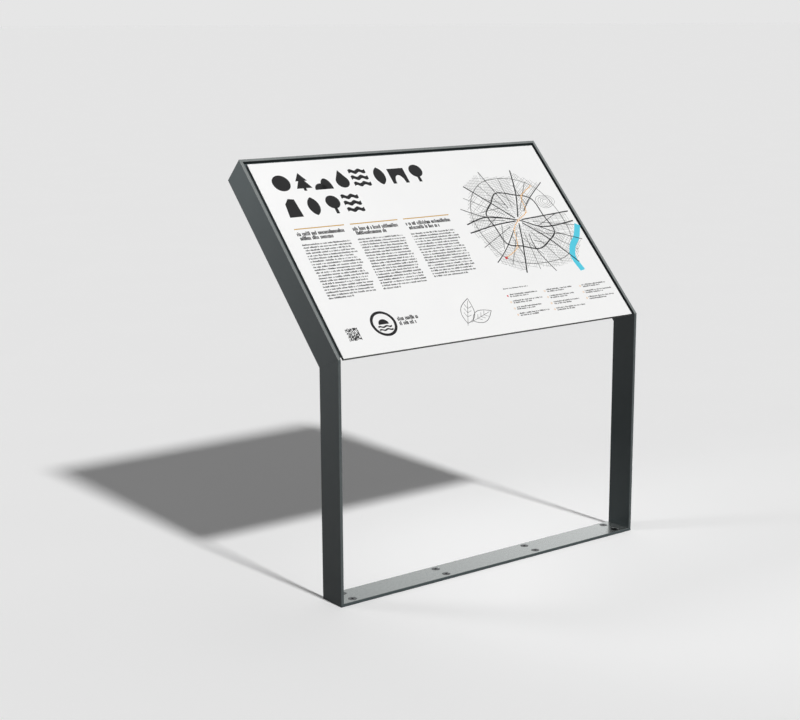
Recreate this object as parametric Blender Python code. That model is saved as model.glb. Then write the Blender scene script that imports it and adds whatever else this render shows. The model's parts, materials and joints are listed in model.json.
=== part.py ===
"""Interpretive display frame for a park, a street or a square.

Two legs of flat steel bar stand on a flat base bar. Two arms, mitred to the legs, slope back and
carry a top bar. Inside them a ledge of thin strip backs the groove round a printed board, and two
rails cross from ledge to ledge. Screws from behind hold the board to the rails. Countersunk screws
hold the base bar down.

Metres, +Z up. The origin is at the centre of the base bar's underside, and the printed face
looks to -Y and up.
"""

import math

import bmesh
import bpy
from mathutils import Euler

# Frame of flat bar
BAR_WIDTH = 0.080
BAR_THICKNESS = 0.008
OUTER_WIDTH = 0.970
BEND_HEIGHT = 0.612
SLOPE_LENGTH = 0.612
SLOPE_ANGLE = math.radians(45.5)
EDGE_EASE = 0.0008
EASE_SEGMENTS = 2
JOINT_GAP = 0.0003

# Printed board
BOARD_THICKNESS = 0.008
BOARD_RECESS = 0.0005
BOARD_REVEAL = 0.009
BOARD_LOWER_REVEAL = 0.001
BOARD_CHAMFER = 0.0004

# Ledges and rails behind the board, of one thickness of strip
STRIP_THICKNESS = 0.005
LEDGE_WIDTH = 0.025
LEDGE_LOWER_INSET = 0.012
RAIL_WIDTH = 0.040
RAIL_INSET = 0.110

# Screws and inserts that hold the board to the rails
BOARD_SCREW_COLUMNS = 3
BOARD_SCREW_INSET = 0.095
BOARD_SCREW_DIAMETER = 0.006
BOARD_SCREW_HEAD_DIAMETER = 0.0105
BOARD_SCREW_HEAD_HEIGHT = 0.0033
BOARD_SCREW_SOCKET_WIDTH = 0.004
BOARD_SCREW_SOCKET_DEPTH = 0.002
BOARD_SCREW_HOLE_CLEARANCE = 0.0005
BOARD_SCREW_TIP_CHAMFER = 0.0006
INSERT_DIAMETER = 0.010
INSERT_LENGTH = 0.006

# Screws that hold the base bar down
ANCHOR_EDGE_DISTANCE = 0.018
ANCHOR_INNER_SPACING = 0.300
ANCHOR_END_DISTANCE = 0.037
ANCHOR_DIAMETER = 0.010
ANCHOR_HEAD_DIAMETER = 0.020
ANCHOR_HEAD_LAND = 0.0005
ANCHOR_SOCKET_WIDTH = 0.006
ANCHOR_SOCKET_DEPTH = 0.003
ANCHOR_HOLE_DIAMETER = 0.011
COUNTERSINK_DIAMETER = 0.022

# Facets of the turned pieces and holes
ANCHOR_SIDES = 36
BOARD_SCREW_SIDES = 24
DOME_STEPS = 4
SOCKET_FLATS = 6

# Sizes that follow from the ones above
INNER_WIDTH = OUTER_WIDTH - 2 * BAR_THICKNESS
MITRE_SLOPE = math.tan((math.pi / 2 - SLOPE_ANGLE) / 2)
MITRE_SETBACK = JOINT_GAP / 2 * math.hypot(1, MITRE_SLOPE)
CROSS_LENGTH = INNER_WIDTH - 2 * JOINT_GAP
BOARD_WIDTH = INNER_WIDTH - 2 * BOARD_REVEAL
BOARD_TOP = SLOPE_LENGTH - BAR_THICKNESS - BOARD_REVEAL
BOARD_BACK = BOARD_RECESS + BOARD_THICKNESS
STRIP_FRONT = BOARD_BACK + JOINT_GAP
STRIP_BACK = STRIP_FRONT + STRIP_THICKNESS
LEDGE_TOP = SLOPE_LENGTH - BAR_THICKNESS - JOINT_GAP
LEDGE_BOTTOM = BOARD_LOWER_REVEAL + LEDGE_LOWER_INSET
LEDGE_MIDDLE = (CROSS_LENGTH - LEDGE_WIDTH) / 2
RAIL_LENGTH = CROSS_LENGTH - 2 * (LEDGE_WIDTH + JOINT_GAP)
INSERT_POCKET_RADIUS = INSERT_DIAMETER / 2 + JOINT_GAP
INSERT_POCKET_DEPTH = INSERT_LENGTH + JOINT_GAP
INSERT_BORE_RADIUS = BOARD_SCREW_DIAMETER / 2 + JOINT_GAP
CUT_OVERLAP = 0.002


def clear_scene():
    """Removes what the scene held before."""
    for item in list(bpy.data.objects):
        bpy.data.objects.remove(item, do_unlink=True)


def make_material(name, colour, roughness, metallic):
    """Principled material of one plain colour."""
    material = bpy.data.materials.new(name)
    material.use_nodes = True
    shader = material.node_tree.nodes["Principled BSDF"]
    shader.inputs["Base Color"].default_value = (*colour, 1.0)
    shader.inputs["Roughness"].default_value = roughness
    shader.inputs["Metallic"].default_value = metallic
    material.diffuse_color = (*colour, 1.0)
    return material


def mesh_from(bm, name, smooth=False):
    """Turns a finished bmesh into a mesh, smooth between facets that meet at a low angle."""
    mesh = bpy.data.meshes.new(name)
    bm.normal_update()
    bm.to_mesh(mesh)
    bm.free()
    if smooth:
        mesh.shade_smooth()
        mesh.set_sharp_from_angle(angle=math.radians(35))
    return mesh


def place(name, mesh, material=None, parent=None, location=(0, 0, 0), rotation=(0, 0, 0)):
    """Adds an object with its own mesh or a shared one."""
    item = bpy.data.objects.new(name, mesh)
    bpy.context.collection.objects.link(item)
    item.parent = parent
    item.location = location
    item.rotation_euler = Euler(rotation)
    if material and not mesh.materials:
        mesh.materials.append(material)
    return item


def block(name, low, high, ease, is_eased, shape_corner=None):
    """Closed block between two corners, with the chosen edges eased."""
    bm = bmesh.new()
    bmesh.ops.create_cube(bm, size=1.0)
    for corner in bm.verts:
        for axis in range(3):
            corner.co[axis] = high[axis] if corner.co[axis] > 0 else low[axis]
        if shape_corner:
            shape_corner(corner.co)
    bmesh.ops.bevel(
        bm,
        geom=[edge for edge in bm.edges if is_eased(edge)],
        offset=ease,
        offset_type="OFFSET",
        segments=EASE_SEGMENTS,
        profile=0.5,
        affect="EDGES",
    )
    return mesh_from(bm, name)


def runs_across(edge):
    """True for an edge along X, the length of every crosswise bar."""
    run = edge.verts[1].co - edge.verts[0].co
    return abs(run.x) > 0.99 * run.length


def runs_up(edge):
    """True for an edge along Y, the length of a side ledge."""
    run = edge.verts[1].co - edge.verts[0].co
    return abs(run.y) > 0.99 * run.length


def ring_radius(radius, flats, angle):
    """Distance from the axis to a circle, or to the wall of a socket with that many flats."""
    if not flats:
        return radius
    step = 2 * math.pi / flats
    return radius / math.cos(angle % step - step / 2)


def add_turned(bm, profile, sides, centre=(0, 0, 0), ring_shaped=False):
    """Turns a profile of (radius, height, flats) about Z, drawn from below up the outer side.

    A ring-shaped profile joins its end to its start. Any other is closed by a flat face at each end.
    """
    rings = []
    for radius, height, flats in profile:
        ring = []
        for side in range(sides):
            angle = 2 * math.pi * side / sides
            reach = ring_radius(radius, flats, angle)
            x = centre[0] + reach * math.cos(angle)
            y = centre[1] + reach * math.sin(angle)
            ring.append(bm.verts.new((x, y, centre[2] + height)))
        rings.append(ring)
    pairs = list(zip(rings, rings[1:]))
    if ring_shaped:
        pairs.append((rings[-1], rings[0]))
    else:
        bm.faces.new(reversed(rings[0]))
        bm.faces.new(rings[-1])
    for lower, upper in pairs:
        for side in range(sides):
            following = (side + 1) % sides
            bm.faces.new((lower[side], lower[following], upper[following], upper[side]))


def turned(name, profile, sides, ring_shaped=False):
    """Mesh of one turned piece."""
    bm = bmesh.new()
    add_turned(bm, profile, sides, ring_shaped=ring_shaped)
    return mesh_from(bm, name, smooth=True)


def cut_holes(item, profile, sides, centres, parent=None):
    """Cuts the same turned shape out of a piece at several places."""
    bm = bmesh.new()
    for centre in centres:
        add_turned(bm, profile, sides, centre)
    cutter = place(item.name + "_cutter", mesh_from(bm, item.name + "_cutter"), parent=parent)
    cutter.hide_render = True
    cutter.display_type = "WIRE"
    cut = item.modifiers.new("holes", "BOOLEAN")
    cut.operation = "DIFFERENCE"
    cut.solver = "EXACT"
    cut.object = cutter


def leg_mesh():
    """Upright flat bar, mitred at its top to meet the arm."""

    def mitre_top(corner):
        if corner.z > 0:
            behind_front = corner.y + BAR_WIDTH / 2
            corner.z = BEND_HEIGHT - behind_front * MITRE_SLOPE - MITRE_SETBACK

    return block(
        "leg",
        (-BAR_THICKNESS / 2, -BAR_WIDTH / 2, 0),
        (BAR_THICKNESS / 2, BAR_WIDTH / 2, BEND_HEIGHT),
        EDGE_EASE,
        lambda edge: min(vertex.co.z for vertex in edge.verts) < JOINT_GAP,
        mitre_top,
    )


def arm_mesh():
    """Sloping flat bar, mitred at its lower end to meet the leg."""

    def mitre_foot(corner):
        if corner.y < SLOPE_LENGTH / 2:
            corner.y = -corner.z * MITRE_SLOPE + MITRE_SETBACK

    return block(
        "arm",
        (-BAR_THICKNESS / 2, 0, -BAR_WIDTH),
        (BAR_THICKNESS / 2, SLOPE_LENGTH, 0),
        EDGE_EASE,
        lambda edge: max(vertex.co.y for vertex in edge.verts) > SLOPE_LENGTH - JOINT_GAP,
        mitre_foot,
    )


def cross_bar_mesh(name, length, low, high):
    """Flat bar from side to side, with its long edges eased."""
    return block(
        name,
        (-length / 2, low[0], low[1]),
        (length / 2, high[0], high[1]),
        EDGE_EASE,
        runs_across,
    )


def side_ledge_mesh():
    """Strip along an arm's inner face, out of sight below, with its long edges eased."""
    return block(
        "side_ledge",
        (-LEDGE_WIDTH / 2, LEDGE_BOTTOM, -STRIP_BACK),
        (LEDGE_WIDTH / 2, LEDGE_TOP, -STRIP_FRONT),
        EDGE_EASE,
        runs_up,
    )


def board_mesh():
    """Flat board with lightly chamfered edges."""
    return block(
        "print_panel",
        (-BOARD_WIDTH / 2, BOARD_LOWER_REVEAL, -BOARD_BACK),
        (BOARD_WIDTH / 2, BOARD_TOP, -BOARD_RECESS),
        BOARD_CHAMFER,
        lambda edge: True,
    )


def anchor_places():
    """Centres of the screws in the base bar, row by row from the front."""
    outer = INNER_WIDTH / 2 - ANCHOR_END_DISTANCE
    inner = ANCHOR_INNER_SPACING / 2
    rear = BAR_WIDTH / 2 - ANCHOR_EDGE_DISTANCE
    places = []
    for row, y in (("front", -rear), ("rear", rear)):
        for number, x in enumerate((-outer, -inner, inner, outer), start=1):
            places.append((f"{row}_anchor_screw_{number}", (x, y, 0)))
    return places


def countersink_profile():
    """Hole with a cone at 45 degrees to its axis, down from the base bar's top face."""
    hole = ANCHOR_HOLE_DIAMETER / 2
    mouth = COUNTERSINK_DIAMETER / 2
    cone_foot = BAR_THICKNESS - (mouth - hole)
    return [
        (hole, -CUT_OVERLAP, 0),
        (hole, cone_foot, 0),
        (mouth, BAR_THICKNESS, 0),
        (mouth + CUT_OVERLAP, BAR_THICKNESS + CUT_OVERLAP, 0),
    ]


def anchor_profile():
    """Countersunk screw on the hole's cone, with the part of its shank inside the bar."""
    shank = ANCHOR_DIAMETER / 2
    head = ANCHOR_HEAD_DIAMETER / 2
    socket = ANCHOR_SOCKET_WIDTH / 2
    seat = BAR_THICKNESS - COUNTERSINK_DIAMETER / 2 + JOINT_GAP * math.sqrt(2)
    head_top = seat + head + ANCHOR_HEAD_LAND
    return [
        (shank, 0, 0),
        (shank, seat + shank, 0),
        (head, seat + head, 0),
        (head, head_top, 0),
        (socket, head_top, SOCKET_FLATS),
        (socket, head_top - ANCHOR_SOCKET_DEPTH, SOCKET_FLATS),
    ]


def board_screw_profile():
    """Button-head screw with its head's flat at height 0 and its shank below."""
    shank = BOARD_SCREW_DIAMETER / 2
    tip = shank - BOARD_SCREW_TIP_CHAMFER
    head = BOARD_SCREW_HEAD_DIAMETER / 2
    socket = BOARD_SCREW_SOCKET_WIDTH / 2
    rim = BOARD_SCREW_HEAD_HEIGHT / 4
    crown = head * 0.6
    length = 2 * JOINT_GAP + STRIP_THICKNESS + INSERT_LENGTH - JOINT_GAP
    profile = [(tip, -length, 0), (shank, BOARD_SCREW_TIP_CHAMFER - length, 0), (shank, 0, 0), (head, 0, 0)]
    for step in range(DOME_STEPS + 1):
        turn = math.pi / 2 * step / DOME_STEPS
        radius = crown + (head - crown) * math.cos(turn)
        height = rim + (BOARD_SCREW_HEAD_HEIGHT - rim) * math.sin(turn)
        profile.append((radius, height, 0))
    profile.append((socket, BOARD_SCREW_HEAD_HEIGHT, SOCKET_FLATS))
    profile.append((socket, BOARD_SCREW_HEAD_HEIGHT - BOARD_SCREW_SOCKET_DEPTH, SOCKET_FLATS))
    return profile


def insert_profile():
    """Threaded insert as a plain sleeve, its mouth level with the board's back."""
    outer = INSERT_DIAMETER / 2
    return [
        (outer, 0, 0),
        (outer, INSERT_LENGTH, 0),
        (INSERT_BORE_RADIUS, INSERT_LENGTH, 0),
        (INSERT_BORE_RADIUS, 0, 0),
    ]


def board_screw_columns():
    """Positions of the board's screws across its width, evenly spaced."""
    reach = BOARD_WIDTH / 2 - BOARD_SCREW_INSET
    step = 2 * reach / (BOARD_SCREW_COLUMNS - 1)
    return [-reach + step * column for column in range(BOARD_SCREW_COLUMNS)]


def build_side(side, sign, slope, steel, leg, arm, ledge):
    """One leg, the arm above it and the ledge inside the arm."""
    x = sign * (OUTER_WIDTH - BAR_THICKNESS) / 2
    place(f"{side}_leg", leg, steel, location=(x, 0, 0))
    place(f"{side}_arm", arm, steel, slope, location=(x, 0, 0))
    place(f"{side}_ledge", ledge, steel, slope, location=(sign * LEDGE_MIDDLE, 0, 0))


def build_base(steel, stainless):
    """Base bar with its countersunk holes and the screws in them."""
    low, high = (-BAR_WIDTH / 2, 0), (BAR_WIDTH / 2, BAR_THICKNESS)
    bar = place("base_bar", cross_bar_mesh("base_bar", CROSS_LENGTH, low, high), steel)
    places = anchor_places()
    cut_holes(bar, countersink_profile(), ANCHOR_SIDES, [centre for name, centre in places])
    screw = turned("anchor_screw", anchor_profile(), ANCHOR_SIDES)
    for name, centre in places:
        place(name, screw, stainless, location=centre)


def build_top(slope, steel):
    """Flat bar between the arms' upper ends, edge on to the board, and the ledge under it."""
    low, high = (SLOPE_LENGTH - BAR_THICKNESS, -BAR_WIDTH), (SLOPE_LENGTH, 0)
    place("top_bar", cross_bar_mesh("top_bar", CROSS_LENGTH, low, high), steel, slope)
    low, high = (LEDGE_TOP - LEDGE_WIDTH, -STRIP_BACK), (LEDGE_TOP, -STRIP_FRONT)
    place("top_ledge", cross_bar_mesh("top_ledge", RAIL_LENGTH, low, high), steel, slope)


def build_board(slope, steel, laminate, stainless, brass):
    """Printed board with its inserts, the two rails behind it and the screws through them."""
    columns = board_screw_columns()
    rails = (("lower", BOARD_LOWER_REVEAL + RAIL_INSET), ("upper", BOARD_TOP - RAIL_INSET))
    board = place("print_panel", board_mesh(), laminate, slope)
    pocket = [
        (INSERT_POCKET_RADIUS, -CUT_OVERLAP, 0),
        (INSERT_POCKET_RADIUS, INSERT_POCKET_DEPTH, 0),
    ]
    pocket_centres = [(x, up, -BOARD_BACK) for name, up in rails for x in columns]
    cut_holes(board, pocket, BOARD_SCREW_SIDES, pocket_centres, slope)
    hole_radius = BOARD_SCREW_DIAMETER / 2 + BOARD_SCREW_HOLE_CLEARANCE
    hole = [(hole_radius, -CUT_OVERLAP, 0), (hole_radius, STRIP_THICKNESS + CUT_OVERLAP, 0)]
    screw = turned("board_screw", board_screw_profile(), BOARD_SCREW_SIDES)
    insert = turned("board_insert", insert_profile(), BOARD_SCREW_SIDES, ring_shaped=True)
    for row, up in rails:
        low = (up - RAIL_WIDTH / 2, -STRIP_BACK)
        high = (up + RAIL_WIDTH / 2, -STRIP_FRONT)
        mesh = cross_bar_mesh(f"{row}_rail", RAIL_LENGTH, low, high)
        rail = place(f"{row}_rail", mesh, steel, slope)
        cut_holes(rail, hole, BOARD_SCREW_SIDES, [(x, up, -STRIP_BACK) for x in columns], slope)
        for number, x in enumerate(columns, start=1):
            seat = (x, up, -STRIP_BACK - JOINT_GAP)
            place(f"{row}_board_screw_{number}", screw, stainless, slope, seat, (math.pi, 0, 0))
            place(f"{row}_board_insert_{number}", insert, brass, slope, (x, up, -BOARD_BACK))


def build():
    """Builds the whole display frame."""
    clear_scene()
    steel = make_material("coated_steel", (0.075, 0.085, 0.087), 0.45, 0.0)
    laminate = make_material("white_laminate", (0.86, 0.86, 0.86), 0.35, 0.0)
    stainless = make_material("stainless_steel", (0.035, 0.038, 0.041), 0.35, 1.0)
    brass = make_material("brass", (0.60, 0.45, 0.20), 0.35, 1.0)
    slope = place("slope", None, location=(0, -BAR_WIDTH / 2, BEND_HEIGHT), rotation=(SLOPE_ANGLE, 0, 0))
    leg = leg_mesh()
    arm = arm_mesh()
    ledge = side_ledge_mesh()
    build_side("left", -1, slope, steel, leg, arm, ledge)
    build_side("right", 1, slope, steel, leg, arm, ledge)
    build_top(slope, steel)
    build_base(steel, stainless)
    build_board(slope, steel, laminate, stainless, brass)


build()
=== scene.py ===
"""Looks of the interpretive display frame: its finishes, its printed board, its welds and the studio.

Metres, +Z up. The print is laid out in millimetres, across and up from the board's lower left corner.
"""

import json
import math
import random

import bmesh
import bpy
from mathutils import Matrix, Vector


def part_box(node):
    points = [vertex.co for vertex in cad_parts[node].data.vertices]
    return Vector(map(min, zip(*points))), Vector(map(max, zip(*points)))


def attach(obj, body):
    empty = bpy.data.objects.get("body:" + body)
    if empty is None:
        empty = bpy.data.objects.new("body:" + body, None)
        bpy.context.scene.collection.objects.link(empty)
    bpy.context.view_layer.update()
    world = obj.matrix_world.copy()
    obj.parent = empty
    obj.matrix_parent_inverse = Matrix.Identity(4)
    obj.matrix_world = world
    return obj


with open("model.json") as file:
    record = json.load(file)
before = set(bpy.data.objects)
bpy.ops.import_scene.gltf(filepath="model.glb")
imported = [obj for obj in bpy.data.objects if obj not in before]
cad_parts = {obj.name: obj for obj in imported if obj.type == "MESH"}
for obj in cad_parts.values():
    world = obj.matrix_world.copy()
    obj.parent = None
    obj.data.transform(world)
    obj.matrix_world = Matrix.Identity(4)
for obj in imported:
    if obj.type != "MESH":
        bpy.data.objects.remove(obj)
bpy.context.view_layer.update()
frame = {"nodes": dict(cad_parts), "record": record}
nodes = frame["nodes"]
mounts = {mount["name"]: mount for mount in frame["record"]["mounts"]}

MM = 0.001

# Camera, fitted to the frame's edges in the photograph
IMAGE_WIDTH = 800
FOCAL_PIXELS = 1562.56
SENSOR_WIDTH = 36.0
CAMERA_PLACE = (-2.47538, -2.99251, 1.38729)
CAMERA_TURN = math.radians(-36.31)
CAMERA_PITCH = math.radians(-12.30)
CAMERA_ROLL = math.radians(-0.29)

# Studio
KEY_TOWARDS = (0.04, -0.72, 0.69)
KEY_LEVEL = 0.86
KEY_SPREAD = 5
BACK_TOWARDS = (0.60, 0.60, 0.55)
BACK_LEVEL = 0.16
BACK_SPREAD = 80
AIR_LEVEL = 0.125
SIDE_PLACE = (-1.10, 0.75, 1.50)
SIDE_AIM = (-0.485, 0.32, 0.95)
SIDE_WATTS = 33.0
SIDE_RADIUS = 0.20
SIDE_CONE = 52
FLOOR_RADIUS = 400.0
FLOOR_SIDES = 64

# Printed board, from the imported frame
FACE_NORMAL = Vector(mounts["print_face"]["axis"])
FACE_UP = Vector((0, FACE_NORMAL.z, -FACE_NORMAL.y))
ACROSS = Vector((1, 0, 0))

# Finishes: the laminate's skins and how deep a face's painted highlight and sheen reach, in metres, and what
# patches run between
LAMINATE_SKIN = 0.0006
EDGE_DEPTH = 0.0005
PATCH_RANGE = (0.3, 0.7)

# Height of each ink's top over the printed face, and how far all of them reach below it, in millimetres
INK_SINK = 0.02
STREET_TOP = 0.030
LANE_TOP = 0.040
RIVER_TOP = 0.050
AVENUE_TOP = 0.0595
ROAD_TOP = 0.060
ROUTE_TOP = 0.075
STOP_TOP = 0.090
STOP_HEART_TOP = 0.105
INK_TOP = 0.060
LIFT_STEP = 0.00005

# Headline and columns, in millimetres. Letters are a bar's pitch and height
COLUMN_LEFTS = (40, 206, 372)
COLUMN_WIDTH = 148
HEADLINE_HEIGHT = 58
HEADLINE_PITCH = 60.5
HEADLINE_BASES = (498, 419)
RULE_HEIGHT = 3.0
RULE_BASE = 381
HEAD_BASE = 361
HEAD_LINE_PITCH = 13.5
HEAD_ENDS = (0.05, 0.7)
HEAD_SEED = 40
BODY_BASE = 331
BODY_PITCH = 8.55
BODY_ROWS = (20, 19, 17)
BODY_LAST_ROWS = (0.5, 0.35, 0.75)
BODY_LETTERS = (2.3, 3.5)
BODY_RAGGED = 0.10
BODY_SEED = 60
BOLD_LETTERS = (3.9, 8.6)
BAR_WIDTHS = (0.6, 0.9)
WORD_GAPS = 0.17
SHORT_BARS = 0.72
TALL_BAR_GROWTH = 0.4

# Mosaic
MOSAIC_PLACE = (40, 44)
MOSAIC_SIDE = 18
TILE_PITCH = 2.0
TILE_SHARE = 0.96
TILES_LEFT_OUT = 0.36
MOSAIC_SEED = 4

# Town, in millimetres. Shares run from its centre to its edge
MAP_CENTRE = (738, 342)
TOWN_EDGE = (
    (558, 316),
    (592, 214),
    (668, 172),
    (768, 166),
    (862, 186),
    (918, 258),
    (926, 356),
    (890, 462),
    (806, 512),
    (694, 514),
    (618, 470),
    (568, 396),
)
PARK_QUARTER = 6
QUARTER_GROWTH = (0.88, 1.06)
STREET_SEED = 7
STREET_WIDTH = 0.9
STREET_PITCHES = ((4.4, 5.6), (8.0, 11.0))
STREET_REACH = 160
STREETS_EACH_WAY = 28
STREETS_LEFT_OUT = 0.12
STREET_TRIM = 0.12
SHORTEST_STREET = 12
LANE_SEED = 11
LANE_WIDTH = 1.9
OUTER_RING_SHARE = 0.82
LINK_START_SHARES = (0.30, 0.42)
LINK_END_SHARES = (0.60, 0.75)
SPUR_START_SHARE = 0.25
SPUR_END_SHARES = (0.85, 1.0)
BOULEVARD_SEED = 5
BOULEVARD_WIDTH = 3.8
BOULEVARD_START_SHARE = 0.06
BOULEVARD_BEND_SHARE = 0.5
BOULEVARD_SWERVE = 9
RING_SHARES = (0.50, 0.56)
AVENUE_SEED = 9
AVENUE_WIDTH = 2.6
AVENUE_START_SHARES = (0.12, 0.3)
AVENUE_BEND_SHARE = 0.6
AVENUE_SWERVE = 12
CROSS_ROAD = ((562, 344), (640, 362), (738, 342), (812, 312), (924, 322))
RIVER = ((931, 308), (903, 268), (872, 240), (852, 204), (858, 158))
RIVER_WIDTH = 18
HILL_PLACE = (866, 396)
HILL_SQUEEZE = 0.78
CONTOUR_RADII = (9, 16, 23, 30)
CONTOUR_STEPS = 36
CONTOUR_WIDTH = 1.0
ROUTE = ((628, 226), (684, 256), (706, 312), (738, 342), (780, 368), (794, 420), (846, 452))
DASH_PITCH = 8.0
DASH_LENGTH = 5.6
DASH_WIDTH = 3.0
START_RADIUS = 4.2
STOP_RADIUS = 3.6
STOP_HEART_RADIUS = 2.2

# Legend, in millimetres. Letters are its rows' pitch, a bar's pitch and a bar's height
LEGEND_LEFTS = (562, 688, 814)
LEGEND_BASES = (110, 90, 70, 50)
LEGEND_HEAD_BASE = 130
LEGEND_HEAD_WIDTH = 84
LEGEND_HEAD_LETTERS = (5.0, 2.6, 2.6)
LEGEND_HEAD_ENDS = (0.0, 1.0)
LEGEND_HEAD_SEED = 90
LEGEND_LETTERS = (5.9, 2.2, 3.0)
LEGEND_INDENT = 9
LEGEND_WIDTH = 102
LEGEND_ENDS = (0.2, 0.6)
LEGEND_SEED = 100
MARK_SHIFT = (2.5, -1.0)
MARK_RADIUS = 2.6
MARK_HEART_RADIUS = 1.6

# Emblem and leaves, in millimetres. A leaf has its left, its bottom, its lean in degrees and its length
EMBLEM_CENTRE = (156, 80)
EMBLEM_RADIUS = 33
EMBLEM_RING_WIDTH = 7.5
EMBLEM_SUN_RADIUS = 15
EMBLEM_WORDS = (200, 82)
EMBLEM_WORDS_WIDTH = 64
EMBLEM_ENDS = (0.0, 0.8)
EMBLEM_SEED = 31
LEAVES = ((398, 46, 62, 82), (418, 50, 18, 74))
LEAF_BULGE = 0.24
LEAF_STALK = 8
LEAF_RIB_SHARE = 0.9
LEAF_EDGE_WIDTH = 1.5
VEIN_SHARES = (0.25, 0.42, 0.59)
VEIN_LENGTH = 0.13
VEIN_WIDTH = 1.0

# Welds, in metres
BEAD_RADIUS = 0.0026
BEAD_PITCH = 0.0019
BEAD_SIZES = (0.93, 1.07)
BEAD_FLATNESS = 0.62
STITCH_LENGTH = 0.035
SIDE_STITCHES = 5
TOP_STITCHES = 6
SEAM_LAP = 0.0005
SEAM_SHRINK = 0.00025
SEAM_CHAMFER = 0.00008


def add(tree, kind, inputs=(), **settings):
    """Adds a node with its settings. Its inputs are given by name or in order. A node is linked by its
    first output in use, an output is linked as it is, and anything else is the input's own value."""
    node = tree.nodes.new(kind)
    for name, value in settings.items():
        setattr(node, name, value)
    sockets = [socket for socket in node.inputs if socket.enabled]
    if isinstance(inputs, dict):
        names = [socket.name for socket in sockets]
        sockets = [sockets[names.index(name)] for name in inputs]
        inputs = inputs.values()
    for socket, value in zip(sockets, inputs):
        if isinstance(value, bpy.types.Node):
            value = next(output for output in value.outputs if output.enabled)
        if isinstance(value, bpy.types.NodeSocket):
            tree.links.new(value, socket)
        else:
            socket.default_value = value
    return node


def linear(colour):
    """Scene-linear colour with alpha of an sRGB hex value."""
    channels = [int(colour[start : start + 2], 16) / 255 for start in (1, 3, 5)]
    return (*[c / 12.92 if c <= 0.04045 else ((c + 0.055) / 1.055) ** 2.4 for c in channels], 1.0)


def new_material(name):
    """Empty material, with its tree and the place on the frame that its patterns follow."""
    material = bpy.data.materials.new(name)
    material.use_nodes = True
    tree = material.node_tree
    tree.nodes.clear()
    return material, tree, add(tree, "ShaderNodeTexCoord").outputs["Object"]


def end_material(material, inputs):
    """Gives a material its surface, and returns it."""
    tree = material.node_tree
    surface = add(tree, "ShaderNodeBsdfPrincipled", inputs)
    add(tree, "ShaderNodeOutputMaterial", {"Surface": surface})
    return material


def clouded(tree, spot, size, detail, first, second):
    """Colour that drifts between two others in soft patches of about that size."""
    patches = add(tree, "ShaderNodeTexNoise", {"Vector": spot, "Scale": 1 / size, "Detail": detail})
    return add(tree, "ShaderNodeMix", (patches, linear(first), linear(second)), data_type="RGBA")


def varied(tree, spot, size, detail, low, high):
    """Value that drifts from low to high in soft patches of about that size."""
    patches = add(tree, "ShaderNodeTexNoise", {"Vector": spot, "Scale": 1 / size, "Detail": detail})
    return add(tree, "ShaderNodeMapRange", (patches, *PATCH_RANGE, low, high))


def grained(tree, spot, size, detail, depth, strength):
    """Unevenness of that real depth, in soft patches of about that size."""
    patches = add(tree, "ShaderNodeTexNoise", {"Vector": spot, "Scale": 1 / size, "Detail": detail})
    return add(tree, "ShaderNodeBump", {"Height": patches, "Distance": depth, "Strength": strength})


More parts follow.
